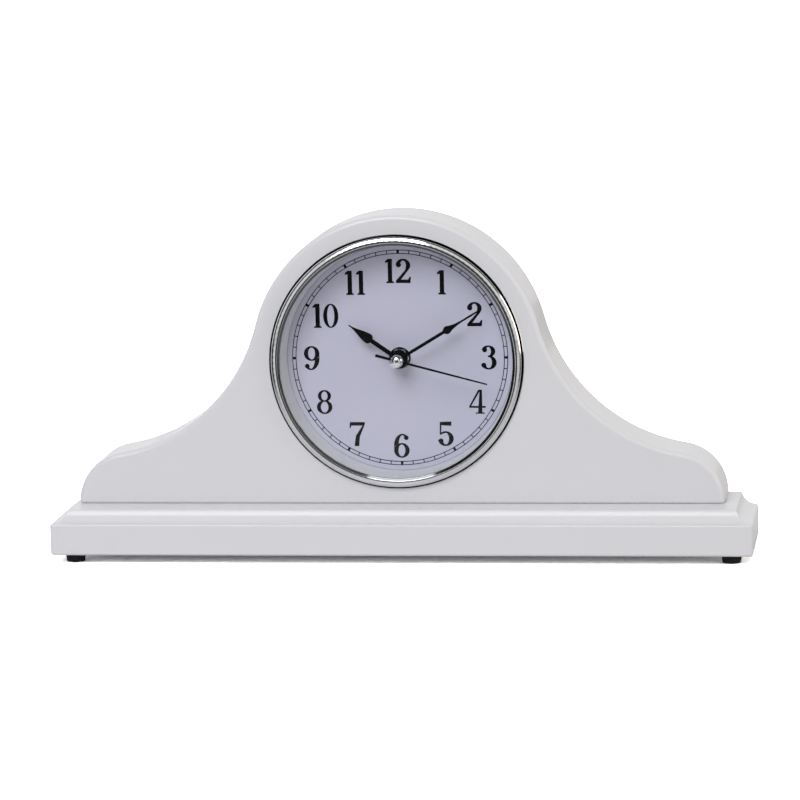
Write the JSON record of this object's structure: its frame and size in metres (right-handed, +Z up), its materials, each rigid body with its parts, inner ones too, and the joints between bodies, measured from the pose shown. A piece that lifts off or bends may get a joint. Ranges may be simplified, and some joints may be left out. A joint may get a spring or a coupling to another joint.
{
  "type": "table clock",
  "caption": "Table clock with a white lacquered tambour case on a coved base, chrome bezel, domed glass, numbered dial, hands and a battery quartz movement.",
  "frame": {"origin": "on the table, under the middle of the base board", "axes": "+X to the viewer's right along the base, +Y back into the clock, +Z up; the dial faces -Y"},
  "size_m": [0.42, 0.075, 0.2055],
  "materials": {
    "white_lacquer": "high gloss white lacquer over MDF",
    "raw_board": "unpainted MDF",
    "back_panel_paint": "satin white paint over MDF",
    "chrome": "bright chrome plate",
    "clear_glass": "clear polished glass",
    "white_plastic": "gloss white moulding",
    "dial_print": "pale matt dial",
    "black_ink": "black print",
    "black_paint": "black enamel on stamped metal",
    "black_rubber": "moulded black rubber",
    "zinc_steel": "zinc plated steel",
    "black_plastic": "black moulded plastic",
    "brass": "turned brass",
    "natural_nylon": "moulded nylon wheels",
    "magnet": "sintered magnet",
    "soft_iron": "stamped soft iron",
    "copper_wire": "enamelled copper winding",
    "board_green": "printed circuit board",
    "crystal_can": "plain metal can",
    "contact_metal": "nickel plated spring strip",
    "cell_sleeve": "plain battery sleeve"
  },
  "bodies": {
    "clock": {"base_board": "white_lacquer", "case_front": "white_lacquer", "case_skin": "white_lacquer", "case_back": "back_panel_paint", "case_floor": "raw_board", "glue_blocks": "raw_board", "base_screws": "zinc_steel", "back_screws": "zinc_steel", "foot_front_left": "black_rubber", "foot_front_right": "black_rubber", "foot_rear_left": "black_rubber", "foot_rear_right": "black_rubber", "foot_screws": "zinc_steel", "bezel": "chrome", "lens": "clear_glass", "dial_cup": "white_plastic", "dial": "dial_print", "numerals": "black_ink", "minute_track": "black_ink", "retaining_clips": "zinc_steel", "clip_screws": "zinc_steel", "dial_nut": "chrome", "dial_washer": "chrome", "rubber_washer": "black_rubber", "movement_case": "black_plastic", "movement_cover": "black_plastic", "threaded_bush": "brass", "gear_plate": "natural_nylon", "stator": "soft_iron", "coil_bobbin": "natural_nylon", "coil_winding": "copper_wire", "circuit_board": "board_green", "quartz_crystal": "crystal_can", "battery_contact_positive": "contact_metal", "battery_contact_negative": "contact_metal"},
    "seconds": {"seconds_wheel": "natural_nylon", "second_hand": "black_paint", "hand_cap": "chrome"},
    "minutes": {"centre_wheel": "natural_nylon", "minute_hand": "black_paint"},
    "hours": {"hour_wheel": "natural_nylon", "hour_hand": "black_paint"},
    "third": {"third_wheel": "natural_nylon"},
    "intermediate": {"intermediate_wheel": "natural_nylon"},
    "rotor": {"rotor_pinion": "natural_nylon", "rotor_magnet": "magnet"},
    "motion": {"motion_wheel": "natural_nylon"},
    "setting": {"set_knob": "black_plastic"},
    "cell": {"battery": "cell_sleeve"}
  },
  "joints": [
    {"name": "second_hand_turn", "type": "hinge", "parent": "clock", "child": "seconds", "pos_m": [-0.0027, 0.01, 0.1175], "axis": [0, 1, 0], "continuous": true},
    {"name": "minute_hand_turn", "type": "hinge", "parent": "clock", "child": "minutes", "pos_m": [-0.0027, 0.01, 0.1175], "axis": [0, 1, 0], "continuous": true},
    {"name": "hour_hand_turn", "type": "hinge", "parent": "clock", "child": "hours", "pos_m": [-0.0027, 0.01, 0.1175], "axis": [0, 1, 0], "continuous": true},
    {"name": "third_wheel_turn", "type": "hinge", "parent": "clock", "child": "third", "pos_m": [0.00688, 0.022, 0.12099], "axis": [0, 1, 0], "continuous": true},
    {"name": "intermediate_wheel_turn", "type": "hinge", "parent": "clock", "child": "intermediate", "pos_m": [-0.0027, 0.027, 0.1247], "axis": [0, 1, 0], "continuous": true},
    {"name": "rotor_turn", "type": "hinge", "parent": "clock", "child": "rotor", "pos_m": [-0.0027, 0.027, 0.1317], "axis": [0, 1, 0], "continuous": true},
    {"name": "motion_wheel_turn", "type": "hinge", "parent": "clock", "child": "motion", "pos_m": [-0.01097, 0.019, 0.11604], "axis": [0, 1, 0], "continuous": true},
    {"name": "set_knob_turn", "type": "hinge", "parent": "clock", "child": "setting", "pos_m": [-0.01825, 0.03, 0.12024], "axis": [0, 1, 0], "continuous": true},
    {"name": "battery_out", "type": "slide", "parent": "clock", "child": "cell", "axis": [0, 1, 0], "range_m": [0, 0.036]}
  ],
  "couplings": [
    {"joint": "minute_hand_turn", "follows": "second_hand_turn", "ratio": 0.016667},
    {"joint": "hour_hand_turn", "follows": "second_hand_turn", "ratio": 0.0013889},
    {"joint": "third_wheel_turn", "follows": "second_hand_turn", "ratio": -0.13333},
    {"joint": "intermediate_wheel_turn", "follows": "second_hand_turn", "ratio": -5},
    {"joint": "rotor_turn", "follows": "second_hand_turn", "ratio": 30},
    {"joint": "motion_wheel_turn", "follows": "second_hand_turn", "ratio": -0.0055556},
    {"joint": "set_knob_turn", "follows": "second_hand_turn", "ratio": 0.016667}
  ]
}
